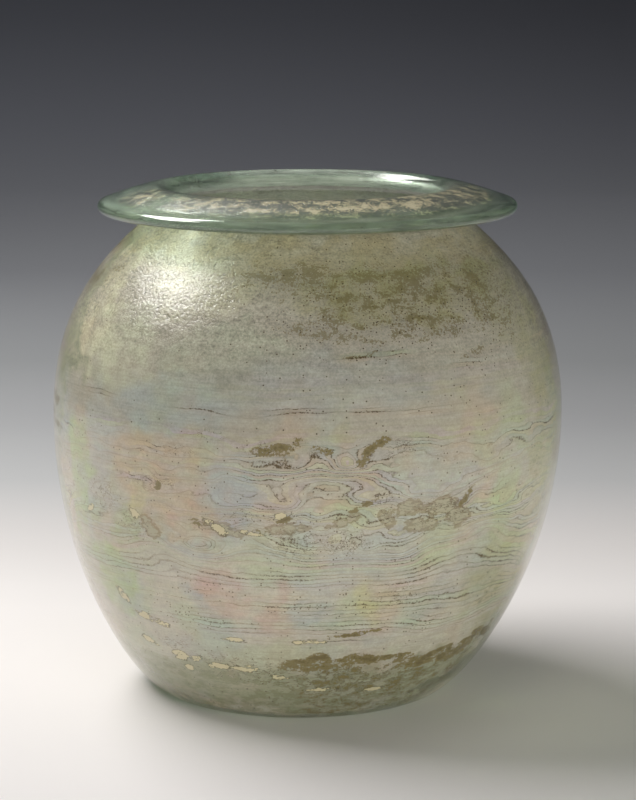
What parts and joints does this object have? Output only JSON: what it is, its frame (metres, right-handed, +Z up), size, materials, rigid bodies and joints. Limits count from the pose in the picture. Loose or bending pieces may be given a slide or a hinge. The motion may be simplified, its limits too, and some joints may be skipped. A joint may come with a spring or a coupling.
{
  "type": "glass cinerary urn",
  "caption": "Squat round blown glass urn, hollow, with a short neck, a broad rim folded outward and a flat foot; pale green, under a milky iridescent weathering film.",
  "frame": {"origin": "on the surface that the urn stands on, under the middle of its widest circle", "axes": "+Z up the urn's axis; the foot is set slightly towards -X; -Y faces the viewer of the picture"},
  "size_m": [0.22, 0.22, 0.217],
  "materials": {
    "glass": "pale green blown glass, clear at the rim, under a milky iridescent weathering film on the body"
  },
  "bodies": {
    "root": {"urn": "glass"}
  },
  "joints": []
}
